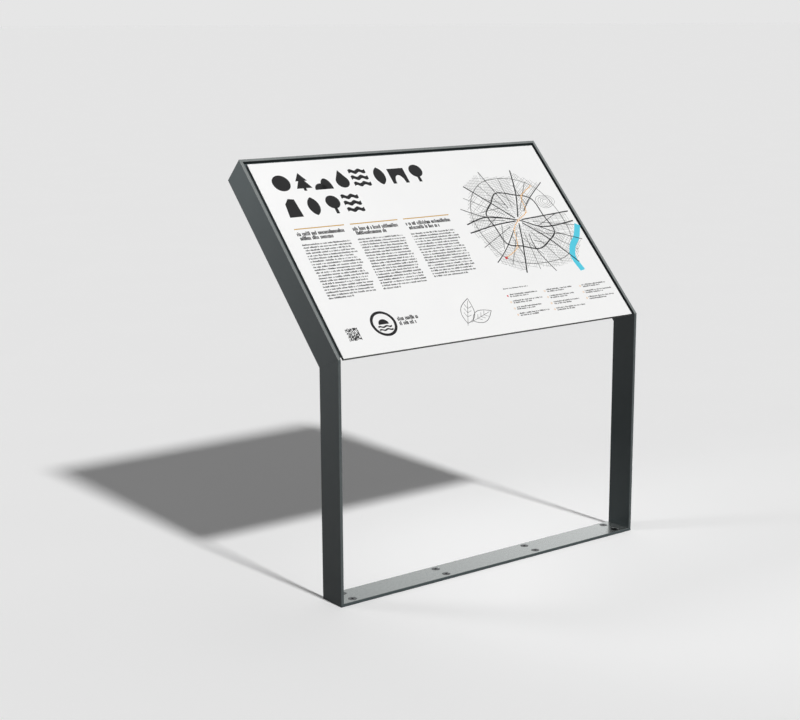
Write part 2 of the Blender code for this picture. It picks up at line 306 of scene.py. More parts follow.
def powder_coat():
    """Baked powder coat on steel: an even satin grey skin with faint orange peel. The base bar's top is
    painted as bright bare metal that gets lighter towards the right, a painted sheen for the light it
    reflects. The front edges are painted a little paler as a painted highlight, and dust dulls the legs'
    gloss lower down."""
    material, tree, spot = new_material("powder_coated_steel")
    place = add(tree, "ShaderNodeSeparateXYZ", {"Vector": spot}).outputs
    low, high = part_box("base_bar")
    leg_low, leg_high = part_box("left_leg")
    # Masks of the arms' front edges and the legs' front edges, which get a painted highlight
    height = add(tree, "ShaderNodeVectorMath", (spot, FACE_NORMAL), operation="DOT_PRODUCT")
    front = reach("left_arm", FACE_NORMAL)[1] - EDGE_DEPTH
    arm_edge_highlight = add(tree, "ShaderNodeMath", (height, front), operation="GREATER_THAN")
    leg_edge_highlight = add(tree, "ShaderNodeMath", (place["Y"], leg_low.y + EDGE_DEPTH), operation="LESS_THAN")
    over_base = add(tree, "ShaderNodeMath", (place["Z"], high.z), operation="GREATER_THAN")
    leg_edge_highlight = add(tree, "ShaderNodeMath", (leg_edge_highlight, over_base), operation="MULTIPLY")
    colour = clouded(tree, spot, 0.090, 3.0, "#495153", "#51595a")
    # Painted highlight: the arms' front edges, and more faintly the legs' front edges, are mixed towards a
    # paler grey where light catches them
    for edge, least, most in ((arm_edge_highlight, 0.75, 1.0), (leg_edge_highlight, 0.14, 0.30)):
        painted_highlight = varied(tree, spot, 0.020, 4.0, least, most)
        painted_highlight = add(tree, "ShaderNodeMath", (edge, painted_highlight), operation="MULTIPLY")
        colour = add(tree, "ShaderNodeMix", (painted_highlight, colour, linear("#7e8281")), data_type="RGBA")
    # Painted sheen: the base bar's top is painted as bright metal, lighter towards the right and in soft
    # patches, for the light that it reflects
    painted_sheen_top = add(tree, "ShaderNodeMath", (place["Z"], high.z, EDGE_DEPTH), operation="COMPARE")
    from_middle = add(tree, "ShaderNodeMath", (place["X"],), operation="ABSOLUTE")
    between_legs = add(tree, "ShaderNodeMath", (from_middle, high.x), operation="LESS_THAN")
    painted_sheen_top = add(tree, "ShaderNodeMath", (painted_sheen_top, between_legs), operation="MULTIPLY")
    sheen_gradient = add(tree, "ShaderNodeMapRange", (place["X"], low.x, high.x, 0.0, 1.0))
    sheen_patches = varied(tree, spot, 0.008, 3.0, -0.12, 0.12)
    sheen_gradient = add(tree, "ShaderNodeMath", (sheen_gradient, sheen_patches), operation="ADD")
    steel = add(tree, "ShaderNodeMix", (sheen_gradient, linear("#7b807f"), linear("#a9adac")), data_type="RGBA")
    satin = varied(tree, spot, 0.030, 4.0, 0.28, 0.38)
    polish = varied(tree, spot, 0.008, 3.0, 0.23, 0.27)
    inputs = {
        "Base Color": add(tree, "ShaderNodeMix", (painted_sheen_top, colour, steel), data_type="RGBA"),
        "Metallic": add(tree, "ShaderNodeMath", (painted_sheen_top, 0.9), operation="MULTIPLY"),
        "Specular IOR Level": add(tree, "ShaderNodeMapRange", (place["Z"], high.z, leg_high.z, 0.13, 0.27)),
        "Roughness": add(tree, "ShaderNodeMix", (painted_sheen_top, satin, polish), data_type="FLOAT"),
        "IOR": 1.5,
        # Real orange peel is about 2 mm across and would be lost between pixels, so it is drawn at 4 mm
        "Normal": grained(tree, spot, 0.004, 2.0, 0.00006, 0.5),
    }
    return end_material(material, inputs)


def satin_film(tree, spot, colour):
    """Inputs of a surface of that colour under the board's clear satin film."""
    return {
        "Base Color": colour,
        "Roughness": varied(tree, spot, 0.060, 2.0, 0.34, 0.42),
        "IOR": 1.5,
        "Specular IOR Level": 0.15,
        # The press plate's grain is finer than 1 mm, and it is drawn at 2.5 mm so that it shows in the gloss
        "Normal": grained(tree, spot, 0.0025, 2.0, 0.00002, 0.4),
    }


def laminate():
    """Compact laminate: white satin skins on a light grey core that shows round the board's edges."""
    material, tree, spot = new_material("compact_laminate")
    low, high = reach("print_panel", FACE_NORMAL)
    height = add(tree, "ShaderNodeVectorMath", (spot, FACE_NORMAL), operation="DOT_PRODUCT")
    middle = (low + high) / 2
    core_half = (high - low) / 2 - LAMINATE_SKIN
    core = add(tree, "ShaderNodeMath", (height, middle, core_half), operation="COMPARE")
    white = clouded(tree, spot, 0.120, 2.0, "#f0f0f0", "#f4f4f3")
    grey = clouded(tree, spot, 0.004, 4.0, "#8f908e", "#a1a2a0")
    colour = add(tree, "ShaderNodeMix", (core, white, grey), data_type="RGBA")
    return end_material(material, satin_film(tree, spot, colour))


def ink(name, colour, shade):
    """Print ink under the board's clear film: one even tone with a slight density change across the sheet."""
    material, tree, spot = new_material(name)
    density = clouded(tree, spot, 0.040, 3.0, colour, shade)
    return end_material(material, satin_film(tree, spot, density))


def turned_metal(name, colours, size, stretch, gloss, strength):
    """Metal from the lathe, with a fine grain that shows in its colour, its gloss and its surface."""
    material, tree, spot = new_material(name)
    spot = add(tree, "ShaderNodeMapping", {"Vector": spot, "Scale": (1.0, 1.0, stretch)})
    inputs = {
        "Base Color": clouded(tree, spot, size, 3.0, *colours),
        "Metallic": 1.0,
        "Roughness": varied(tree, spot, size, 3.0, *gloss),
        "Normal": grained(tree, spot, size, 3.0, 0.00003, strength),
    }
    return end_material(material, inputs)


def stainless():
    """Stainless steel of the screw heads, painted dark as painted shade of their countersinks and the dark
    reflections on them, with fine streaks from the lathe and a soft shine.
    """
    return turned_metal("shade_darkened_stainless", ("#2c2e30", "#3c3f41"), 0.0015, 6.0, (0.26, 0.40), 0.4)


def brass():
    """Turned brass of the threaded inserts: warm yellow metal, slightly dulled."""
    return turned_metal("turned_brass", ("#a88449", "#c9a768"), 0.002, 1.0, (0.30, 0.44), 0.3)


def reach(node, direction):
    """Least and greatest distance of a node's vertices along a direction."""
    distances = [vertex.co.dot(direction) for vertex in nodes[node].data.vertices]
    return min(distances), max(distances)


def axes_matrix(x, y, z, origin, scale=1.0):
    """Matrix that turns a piece's own X, Y and Z to three directions and moves it to an origin."""
    turn = Matrix((x, y, z)).transposed().to_4x4()
    return Matrix.Translation(origin) @ turn @ Matrix.Scale(scale, 4)


def face_matrix():
    """Matrix from millimetres on the printed face to the frame."""
    left = reach("print_panel", ACROSS)[0]
    bottom = reach("print_panel", FACE_UP)[0]
    front = reach("print_panel", FACE_NORMAL)[1]
    corner = ACROSS * left + FACE_UP * bottom + FACE_NORMAL * front
    return axes_matrix(ACROSS, FACE_UP, FACE_NORMAL, corner, MM)


def new_object(name, data):
    """New object in the scene."""
    thing = bpy.data.objects.new(name, data)
    bpy.context.scene.collection.objects.link(thing)
    return thing


def finish_piece(name, parts, material, place=None, smooth=False):
    """Joins meshes into one piece of one material, in its place, which rides with the frame."""
    bm = bmesh.new()
    for part in parts:
        bm.from_mesh(part)
        bpy.data.meshes.remove(part)
    if place:
        bm.transform(place)
    bmesh.ops.recalc_face_normals(bm, faces=bm.faces)
    for face in bm.faces:
        face.smooth = smooth
        face.material_index = 0
    mesh = mesh_of(bm, name)
    mesh.materials.clear()
    mesh.materials.append(material)
    piece = new_object(name, mesh)
    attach(piece, "root")


def mesh_of(bm, name="part"):
    """Plain mesh of a finished bmesh."""
    mesh = bpy.data.meshes.new(name)
    bm.to_mesh(mesh)
    bm.free()
    return mesh


def slabs(outlines, top):
    """Closed flat slabs with those outlines."""
    bm = bmesh.new()
    for outline in outlines:
        lower = [bm.verts.new((x, y, -INK_SINK)) for x, y in outline]
        upper = [bm.verts.new((x, y, top)) for x, y in outline]
        bm.faces.new(reversed(lower))
        bm.faces.new(upper)
        for index in range(len(outline)):
            following = (index + 1) % len(outline)
            bm.faces.new((lower[index], lower[following], upper[following], upper[index]))
    return mesh_of(bm)


def side_points(points, width, closed):
    """Left and right edge of a line of that width, with mitred corners."""
    edges = []
    count = len(points)
    for index, point in enumerate(points):
        before = points[index - 1] if index or closed else None
        after = points[(index + 1) % count] if index < count - 1 or closed else None
        pairs = ((before, point), (point, after))
        runs = [(Vector(end) - Vector(start)).normalized() for start, end in pairs if start and end]
        turn = sum(runs, Vector((0, 0))).normalized()
        side = Vector((-turn.y, turn.x)) * (width / 2) / max(0.5, turn.dot(runs[0]))
        edges.append((Vector(point) + side, Vector(point) - side))
    return edges


def strokes(lines, width, top, closed=False):
    """Closed flat ribbons of one width along lines. Each is a hair higher than the one before it."""
    bm = bmesh.new()
    for number, points in enumerate(lines):
        level = top + LIFT_STEP * number
        rings = []
        for left, right in side_points(points, width, closed):
            corners = ((left, -INK_SINK), (right, -INK_SINK), (right, level), (left, level))
            rings.append([bm.verts.new((place.x, place.y, height)) for place, height in corners])
        pairs = list(zip(rings, rings[1:]))
        if closed:
            pairs.append((rings[-1], rings[0]))
        else:
            bm.faces.new(rings[0])
            bm.faces.new(reversed(rings[-1]))
        for start, end in pairs:
            for index in range(4):
                following = (index + 1) % 4
                bm.faces.new((start[index], end[index], end[following], start[following]))
    return mesh_of(bm)


def arc(centre, radius, start, end, steps, squeeze=1.0):
    """Points along a circle's arc, in degrees, squeezed in height for an ellipse."""
    points = []
    for step in range(steps + 1):
        angle = math.radians(start + (end - start) * step / steps)
        x = centre[0] + radius * math.cos(angle)
        points.append((x, centre[1] + radius * squeeze * math.sin(angle)))
    return points


def disc(centre, radius, steps=28):
    """Outline of a full disc."""
    return arc(centre, radius, 0, 360, steps)[:-1]


def smooth_line(points, steps=6, closed=False):
    """Smooth curve through points, as a Catmull-Rom spline."""
    count = len(points)
    line = []
    for index in range(count if closed else count - 1):
        places = range(index - 1, index + 3)
        places = [place % count if closed else min(max(place, 0), count - 1) for place in places]
        near = [Vector(points[place]) for place in places]
        for step in range(steps):
            t = step / steps
            place = (
                near[1]
                + (near[2] - near[0]) * (t / 2)
                + (near[0] * 2 - near[1] * 5 + near[2] * 4 - near[3]) * (t * t / 2)
                + (near[1] * 3 - near[0] - near[2] * 3 + near[3]) * (t * t * t / 2)
            )
            line.append(tuple(place))
    if not closed:
        line.append(tuple(points[-1]))
    return line


def clip(start, end, corners):
    """The stretch of a straight line inside a convex outline that runs anticlockwise, or None."""
    start, end = Vector(start), Vector(end)
    run = end - start
    first, last = 0.0, 1.0
    for index, corner in enumerate(corners):
        edge = Vector(corners[(index + 1) % len(corners)]) - Vector(corner)
        inward = Vector((-edge.y, edge.x))
        depth = (start - Vector(corner)).dot(inward)
        rate = run.dot(inward)
        if abs(rate) < 1e-9:
            if depth < 0:
                return None
        elif rate > 0:
            first = max(first, -depth / rate)
        else:
            last = min(last, -depth / rate)
    if last <= first:
        return None
    return start + run * first, start + run * last


def new_tree(name, **inputs):
    """Starts a geometry tree with a material and named inputs of each kind. Returns it and its inputs."""
    tree = bpy.data.node_groups.new(name, "GeometryNodeTree")
    for kind, labels in {**inputs, "Material": ("Material",)}.items():
        for label in labels:
            tree.interface.new_socket(name=label, in_out="INPUT", socket_type="NodeSocket" + kind)
    tree.interface.new_socket(name="Geometry", in_out="OUTPUT", socket_type="NodeSocketGeometry")
    return tree, add(tree, "NodeGroupInput").outputs


def end_tree(tree, given, inputs):
    """Ends a tree with copies of one shape on its points, as real geometry of its material."""
    copies = add(tree, "GeometryNodeInstanceOnPoints", inputs)
    real = add(tree, "GeometryNodeRealizeInstances", {"Geometry": copies})
    painted = add(tree, "GeometryNodeSetMaterial", {"Geometry": real, "Material": given["Material"]})
    add(tree, "NodeGroupOutput", {"Geometry": painted})
    return tree


def grow(tree, material, values, source=None):
    """Runs a tree with its inputs' values and returns the plain mesh that it makes."""
    values = {**values, "Material": material}
    holder = new_object("holder", source or bpy.data.meshes.new("holder"))
    modifier = holder.modifiers.new("pattern", "NODES")
    modifier.node_group = tree
    for item in tree.interface.items_tree:
        if item.in_out == "INPUT" and item.name in values:
            modifier[item.identifier] = values[item.name]
    evaluated = holder.evaluated_get(bpy.context.evaluated_depsgraph_get())
    mesh = bpy.data.meshes.new_from_object(evaluated)
    holder.modifiers.remove(modifier)
    bpy.data.objects.remove(holder)
    return mesh


def row_and_place(tree, index, row_length):
    """Row of each point, and its place in that row."""
    row = add(tree, "ShaderNodeMath", (index, row_length), operation="DIVIDE")
    row = add(tree, "ShaderNodeMath", (row,), operation="FLOOR")
    return row, add(tree, "ShaderNodeMath", (index, row_length), operation="MODULO")


def ink_blocks(tree, given, rows, columns, x, y, chosen, width, height):
    """Ends a tree with flat blocks of ink at the chosen places of a grid."""
    count = add(tree, "ShaderNodeMath", (rows, columns), operation="MULTIPLY")
    thickness = add(tree, "ShaderNodeMath", (given["Top"], INK_SINK), operation="ADD")
    middle = add(tree, "ShaderNodeMath", (thickness, 0.5, -INK_SINK), operation="MULTIPLY_ADD")
    place = add(tree, "ShaderNodeCombineXYZ", (x, y, middle))
    inputs = {
        "Points": add(tree, "GeometryNodePoints", {"Count": count, "Position": place}),
        "Selection": chosen,
        "Instance": add(tree, "GeometryNodeMeshCube"),
        "Scale": add(tree, "ShaderNodeCombineXYZ", (width, height, thickness)),
    }
    return end_tree(tree, given, inputs)


def word_rows_tree():
    """Rows of small upright bars with gaps as between words, which spell nothing."""
    measures = ("Bar Pitch", "Row Step", "Bar Height", "Top", "Ragged", "Last Row")
    tree, given = new_tree("word_rows", Int=("Rows", "Bars", "Seed"), Float=measures)
    index = add(tree, "GeometryNodeInputIndex")
    row, place = row_and_place(tree, index, given["Bars"])
    seeds = [add(tree, "ShaderNodeMath", (given["Seed"], step), operation="ADD") for step in (1, 2, 3)]
    inputs = {"Min": 0.0, "Max": given["Ragged"], "ID": row, "Seed": given["Seed"]}
    missing = add(tree, "FunctionNodeRandomValue", inputs)
    full = add(tree, "ShaderNodeMath", (1.0, missing), operation="SUBTRACT")
    before_last = add(tree, "ShaderNodeMath", (given["Rows"], 1.5), operation="SUBTRACT")
    is_last = add(tree, "ShaderNodeMath", (row, before_last), operation="GREATER_THAN")
    share = add(tree, "GeometryNodeSwitch", (is_last, full, given["Last Row"]), input_type="FLOAT")
    end = add(tree, "ShaderNodeMath", (share, given["Bars"]), operation="MULTIPLY")
    inside = add(tree, "ShaderNodeMath", (place, end), operation="LESS_THAN")
    before = add(tree, "ShaderNodeMath", (index, 1.0), operation="SUBTRACT")
    gap = add(tree, "FunctionNodeRandomValue", {"ID": index, "Seed": seeds[0]})
    gap = add(tree, "ShaderNodeMath", (gap, WORD_GAPS), operation="LESS_THAN")
    # A gap never follows another, so no space between words is wider than one bar
    ended = add(tree, "FunctionNodeRandomValue", {"ID": before, "Seed": seeds[0]})
    ended = add(tree, "ShaderNodeMath", (ended, WORD_GAPS), operation="GREATER_THAN")
    bar = add(tree, "FunctionNodeBooleanMath", (gap, ended), operation="NAND")
    chosen = add(tree, "FunctionNodeBooleanMath", (inside, bar), operation="AND")
    tall = add(tree, "FunctionNodeRandomValue", {"Seed": seeds[1]})
    tall = add(tree, "ShaderNodeMath", (tall, SHORT_BARS), operation="GREATER_THAN")
    stretch = add(tree, "ShaderNodeMath", (tall, TALL_BAR_GROWTH, 1.0), operation="MULTIPLY_ADD")
    height = add(tree, "ShaderNodeMath", (stretch, given["Bar Height"]), operation="MULTIPLY")
    inputs = {"Min": BAR_WIDTHS[0], "Max": BAR_WIDTHS[1], "Seed": seeds[2]}
    width = add(tree, "FunctionNodeRandomValue", inputs)
    width = add(tree, "ShaderNodeMath", (width, given["Bar Pitch"]), operation="MULTIPLY")
    x = add(tree, "ShaderNodeMath", (place, 0.5), operation="ADD")
    x = add(tree, "ShaderNodeMath", (x, given["Bar Pitch"]), operation="MULTIPLY")
    foot = add(tree, "ShaderNodeMath", (row, given["Row Step"]), operation="MULTIPLY")
    y = add(tree, "ShaderNodeMath", (height, 0.5, foot), operation="MULTIPLY_ADD")
    return ink_blocks(tree, given, given["Rows"], given["Bars"], x, y, chosen, width, height)


def mosaic_tree():
    """Square of small tiles with some of them left out at random."""
    tree, given = new_tree("mosaic", Int=("Tiles", "Seed"), Float=("Tile", "Top"))
    index = add(tree, "GeometryNodeInputIndex")
    half = add(tree, "ShaderNodeMath", (given["Tile"], 0.5), operation="MULTIPLY")
    y, x = [
        add(tree, "ShaderNodeMath", (number, given["Tile"], half), operation="MULTIPLY_ADD")
        for number in row_and_place(tree, index, given["Tiles"])
    ]
    size = add(tree, "ShaderNodeMath", (given["Tile"], TILE_SHARE), operation="MULTIPLY")
    chosen = add(tree, "FunctionNodeRandomValue", {"Seed": given["Seed"]})
    chosen = add(tree, "ShaderNodeMath", (chosen, TILES_LEFT_OUT), operation="GREATER_THAN")
    return ink_blocks(tree, given, given["Tiles"], given["Tiles"], x, y, chosen, size, size)


def dashes_tree():
    """Short dashes one after the other along a line."""
    measures = ("Dash Pitch", "Dash Length", "Dash Width", "Top")
    tree, given = new_tree("dashes", Geometry=("Line",), Float=measures)
    curve = add(tree, "GeometryNodeMeshToCurve", {"Mesh": given["Line"]})
    inputs = {"Curve": curve, "Length": given["Dash Pitch"]}
    thickness = add(tree, "ShaderNodeMath", (given["Top"], INK_SINK), operation="ADD")
    size = (given["Dash Length"], given["Dash Width"], thickness)
    along = {"Vector": add(tree, "GeometryNodeInputTangent")}
    inputs = {
        "Points": add(tree, "GeometryNodeResampleCurve", inputs, mode="LENGTH"),
        "Instance": add(tree, "GeometryNodeMeshCube"),
        "Rotation": add(tree, "FunctionNodeAlignRotationToVector", along, axis="X"),
        "Scale": add(tree, "ShaderNodeCombineXYZ", size),
    }
    return end_tree(tree, given, inputs)


def bead_tree():
    """Weld bead along Z: the ripples that a torch leaves as it is moved on in small steps."""
    tree, given = new_tree("weld_bead", Int=("Ripples", "Seed"), Float=("Pitch", "Radius"))
    step = add(tree, "ShaderNodeCombineXYZ", (0.0, 0.0, given["Pitch"]))
    line = {"Count": given["Ripples"], "Offset": step}
    ball = {"Segments": 14, "Rings": 8, "Radius": given["Radius"]}
    inputs = {"Min": BEAD_SIZES[0], "Max": BEAD_SIZES[1], "Seed": given["Seed"]}
    size = add(tree, "FunctionNodeRandomValue", inputs)
    inputs = {
        "Points": add(tree, "GeometryNodeMeshLine", line, mode="OFFSET"),
        "Instance": add(tree, "GeometryNodeMeshUVSphere", ball),
        "Scale": add(tree, "ShaderNodeCombineXYZ", (size, size, BEAD_FLATNESS)),
    }
    return end_tree(tree, given, inputs)


def paint_nodes(finishes):
    """Gives each solid of the frame the finish of its record slot."""
    by_word = (("screw", "stainless_steel"), ("insert", "brass"), ("panel", "white_laminate"))
    for name, node in nodes.items():
        slot = next((slot for word, slot in by_word if word in name), "coated_steel")
        for place in node.material_slots:
            place.material = finishes[slot]


def seam(basis, spans):
    """Closed weld with its edges taken off, which fills a box: a span along each of three directions."""
    middle = sum((axis * (low + high) / 2 for axis, (low, high) in zip(basis, spans)), Vector())
    bm = bmesh.new()
    bmesh.ops.create_cube(bm, size=1.0)
    bmesh.ops.scale(bm, vec=[high - low for low, high in spans], verts=bm.verts)
    bmesh.ops.bevel(bm, geom=bm.edges, offset=SEAM_CHAMFER, segments=2, profile=0.5, affect="EDGES")
    bm.transform(axes_matrix(*basis, middle))
    return mesh_of(bm)


def shrunk(span):
    """A span a little shorter at both ends, so that a weld stays under its neighbours' faces."""
    return span[0] + SEAM_SHRINK, span[1] - SEAM_SHRINK


def lapped(low, high):
    """A span a little longer at both ends, so that a weld reaches into both its neighbours."""
    return low - SEAM_LAP, high + SEAM_LAP


def mirrored(span, sign):
    """A span on the right, or its mirror image on the left."""
    return span if sign > 0 else (-span[1], -span[0])


def mitre_seams():
    """Ground welds that close the mitres between legs and arms."""
    parts = []
    for side in ("left", "right"):
        leg, arm = side + "_leg", side + "_arm"
        low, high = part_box(leg)
        corners = [vertex.co for vertex in nodes[leg].data.vertices]
        front = max((corner for corner in corners if corner.y < low.y + MM), key=lambda corner: corner.z)
        back = max((corner for corner in corners if corner.y > high.y - MM), key=lambda corner: corner.z)
        along = Vector((0, back.y - front.y, back.z - front.z)).normalized()
        over = ACROSS.cross(along)
        spans = (
            shrunk((low.x, high.x)),
            shrunk((front.dot(along), back.dot(along))),
            lapped(reach(leg, over)[1], reach(arm, over)[0]),
        )
        parts.append(seam((ACROSS, along, over), spans))
    return parts


def end_seams():
    """Welds that close the ends of the crosswise bars and the long sides of the ledges."""
    upright = (ACROSS, Vector((0, 1, 0)), Vector((0, 0, 1)))
    sloping = (ACROSS, FACE_UP, FACE_NORMAL)
    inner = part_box("right_leg")[0].x
    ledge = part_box("right_ledge")[0].x
    ends = [("base_bar", upright, inner), ("top_bar", sloping, inner)]
    ends += [(name, sloping, ledge) for name in ("lower_rail", "upper_rail", "top_ledge")]
    ends.append(("right_ledge", sloping, inner))
    parts = []
    for sign in (-1, 1):
        for name, basis, stop in ends:
            across = mirrored(lapped(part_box(name)[1].x, stop), sign)
            spans = (across, shrunk(reach(name, basis[1])), shrunk(reach(name, basis[2])))
            parts.append(seam(basis, spans))
    up = lapped(reach("top_ledge", FACE_UP)[1], reach("top_bar", FACE_UP)[0])
    spans = (shrunk(reach("top_ledge", ACROSS)), up, shrunk(reach("top_ledge", FACE_NORMAL)))
    parts.append(seam(sloping, spans))
    return parts


def stitches(start, along, length, count):
    """Short welds spread evenly over a length, each as a start, a direction and a length."""
    pitch = length / count
    first = (pitch - STITCH_LENGTH) / 2
    return [(start + along * (first + pitch * number), along, STITCH_LENGTH) for number in range(count)]


def weld_runs():
    """Every bead behind the board, as a start, a direction and a length."""
    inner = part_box("right_leg")[0].x
    back = FACE_NORMAL * reach("right_ledge", FACE_NORMAL)[0]
    deep = reach("top_bar", FACE_NORMAL)[0]
    runs = []
    for sign in (-1, 1):
        for name in ("lower_rail", "upper_rail", "top_ledge"):
            low, high = reach(name, FACE_UP)
            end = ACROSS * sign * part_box(name)[1].x
            runs.append((end + FACE_UP * low + back, FACE_UP, high - low))
        side = ACROSS * sign * inner
        low, high = reach("right_ledge", FACE_UP)
        runs += stitches(side + FACE_UP * low + back, FACE_UP, high - low, SIDE_STITCHES)
        corner = side + FACE_UP * reach("top_bar", FACE_UP)[0] + FACE_NORMAL * deep
        runs.append((corner, FACE_NORMAL, back.dot(FACE_NORMAL) - deep))
    left, right = reach("top_ledge", ACROSS)
    start = ACROSS * left + FACE_UP * reach("top_ledge", FACE_UP)[1] + back
    return runs + stitches(start, ACROSS, right - left, TOP_STITCHES)


def weld_beads(tree, material):
    """Rippled beads along every run."""
    parts = []
    for number, (start, along, length) in enumerate(weld_runs()):
        count = int((length - 2 * BEAD_RADIUS) / BEAD_PITCH)
        values = {"Ripples": count + 1, "Pitch": BEAD_PITCH, "Radius": BEAD_RADIUS, "Seed": number}
        bead = grow(tree, material, values)
        side = along.orthogonal().normalized()
        first = start + along * (length - count * BEAD_PITCH) / 2
        bead.transform(axes_matrix(side, along.cross(side), along, first))
        parts.append(bead)
    return parts


def placed(shares, x, y, size):
    """Outline given in shares of a sign's size, in its place."""
    return [(x + size * across, y + size * up) for across, up in shares]


def ripple_band(left, base, width, swell, depth, steps):
    """Band of water with two ripples in its width."""
    crest = []
    for step in range(steps + 1):
        turn = step / steps
        crest.append((left + width * turn, base + swell * math.sin(turn * 4 * math.pi)))
    return crest + [(x, y + depth) for x, y in reversed(crest)]


def sun_motif(x, y, size):
    """Full sun."""
    return [disc((x + size / 2, y + size / 2), size * 0.44, 40)]


def pine_motif(x, y, size):
    """Pine of two tiers on a trunk."""
    right = [(0.07, 0), (0.07, 0.14), (0.40, 0.14), (0.16, 0.55), (0.30, 0.55)]
    left = [(-across, up) for across, up in reversed(right)]
    return [placed(right + [(0, 1)] + left, x + size / 2, y, size)]


def hill_motif(x, y, size):
    """Two round hills, one behind the other."""
    near = arc((x + size * 0.30, y), size * 0.34, 0, 180, 20)
    far = arc((x + size * 0.62, y), size * 0.30, 0, 180, 20, 2.0)
    return [near, far]


def drop_motif(x, y, size):
    """Water drop."""
    round_part = arc((x + size / 2, y + size * 0.34), size * 0.34, -215, 35, 28)
    return [round_part + [(x + size / 2, y + size)]]


def wave_motif(x, y, size):
    """Three bands of ripples on water."""
    measures = (size * 0.90, size * 0.05, size * 0.20, 24)
    return [ripple_band(x, y + size * level, *measures) for level in (0.04, 0.40, 0.76)]


def leaf_motif(x, y, size):
    """Upright leaf with a pointed tip."""
    middle = (x + size / 2, y + size / 2)
    right = arc((middle[0] - size * 0.28, middle[1]), size * 0.573, -60.7, 60.7, 20)
    left = arc((middle[0] + size * 0.28, middle[1]), size * 0.573, 119.3, 240.7, 20)
    return [right[1:] + left[1:]]


def arch_motif(x, y, size):
    """Round arch of a footbridge."""
    hollow = arc((x + size * 0.45, y), size * 0.26, 180, 0, 20, 1.8)
    return [[(x, y)] + hollow + placed(((0.90, 0), (0.90, 0.86), (0, 0.86)), x, y, size)]


def stone_motif(x, y, size):
    """Standing stone with a slanting top."""
    return [placed(((0.10, 0), (0.80, 0), (0.72, 0.95), (0.42, 1), (0.18, 0.72)), x, y, size)]


def tree_motif(x, y, size):
    """Round tree on a trunk."""
    middle = x + size / 2
    trunk = placed(((-0.08, 0), (0.08, 0), (0.08, 0.34), (-0.08, 0.34)), middle, y, size)
    return [trunk, disc((middle, y + size * 0.64), size * 0.36, 32)]


def headline():
    """Two rows of bold landscape signs across the top of the board."""
    rows = (
        (sun_motif, pine_motif, hill_motif, drop_motif, wave_motif, leaf_motif, arch_motif, tree_motif),
        (stone_motif, leaf_motif, tree_motif, wave_motif),
    )
    outlines = []
    for base, row in zip(HEADLINE_BASES, rows):
        for number, motif in enumerate(row):
            left = COLUMN_LEFTS[0] + HEADLINE_PITCH * number
            outlines += motif(left, base, HEADLINE_HEIGHT)
    return [slabs([outline], INK_TOP + LIFT_STEP * number) for number, outline in enumerate(outlines)]


def rules():
    """Thin ochre rules above the columns."""
    bar = ((0, 0), (COLUMN_WIDTH, 0), (COLUMN_WIDTH, RULE_HEIGHT), (0, RULE_HEIGHT))
    return [slabs([placed(bar, left, RULE_BASE, 1) for left in COLUMN_LEFTS], INK_TOP)]


def word_block(tree, material, place, width, rows, pitch, bar_pitch, bar_height, ragged, last, seed):
    """One block of word rows, from its first row's foot down. As shares of the width, ragged is the most
    by which a row falls short, and last is the last row's length."""
    values = {
        "Rows": rows,
        "Bars": int(width / bar_pitch),
        "Bar Pitch": bar_pitch,
        "Row Step": -pitch,
        "Bar Height": bar_height,
        "Top": INK_TOP,
        "Ragged": ragged,
        "Last Row": last,
        "Seed": seed,
    }
    block = grow(tree, material, values)
    block.transform(Matrix.Translation((*place, 0)))
    return block


def column_heads(tree, material):
    """Two bold rows at the head of each column."""
    parts = []
    for number, left in enumerate(COLUMN_LEFTS):
        shape = (COLUMN_WIDTH, 2, HEAD_LINE_PITCH, *BOLD_LETTERS, *HEAD_ENDS)
        parts.append(word_block(tree, material, (left, HEAD_BASE), *shape, HEAD_SEED + number))
    return parts


def column_text(tree, material):
    """Small rows of each column, ragged at the right."""
    parts = []
    for number, (left, rows, last) in enumerate(zip(COLUMN_LEFTS, BODY_ROWS, BODY_LAST_ROWS)):
        shape = (COLUMN_WIDTH, rows, BODY_PITCH, *BODY_LETTERS, BODY_RAGGED, last)
        parts.append(word_block(tree, material, (left, BODY_BASE), *shape, BODY_SEED + number))
    return parts


def legend_entries():
    """Left end of each entry of the legend, column by column. The last column has one fewer."""
    return [(left, base) for left in LEGEND_LEFTS for base in LEGEND_BASES][:-1]


def legend_text(tree, material):
    """Small rows of the legend, two to each entry, under one bolder row."""
    shape = (LEGEND_HEAD_WIDTH, 1, *LEGEND_HEAD_LETTERS, *LEGEND_HEAD_ENDS)
    place = (LEGEND_LEFTS[0], LEGEND_HEAD_BASE)
    parts = [word_block(tree, material, place, *shape, LEGEND_HEAD_SEED)]
    shape = (LEGEND_WIDTH, 2, *LEGEND_LETTERS, *LEGEND_ENDS)
    for number, (left, base) in enumerate(legend_entries()):
        column, row = divmod(number, len(LEGEND_BASES))
        seed = LEGEND_SEED + 10 * column + row
        parts.append(word_block(tree, material, (left + LEGEND_INDENT, base), *shape, seed))
    return parts


def legend_marks():
    """Places of the dots that mark the legend's entries."""
    return [(left + MARK_SHIFT[0], base + MARK_SHIFT[1]) for left, base in legend_entries()]


def between_centre_and(corner, share):
    """Point on the way from the town's centre to its edge."""
    return tuple(centre + (edge - centre) * share for centre, edge in zip(MAP_CENTRE, corner))


def built_quarters():
    """The two corners on the town's edge of each of its quarters, but for the park."""
    pairs = list(zip(TOWN_EDGE, TOWN_EDGE[1:] + TOWN_EDGE[:1]))
    return pairs[:PARK_QUARTER] + pairs[PARK_QUARTER + 1 :]


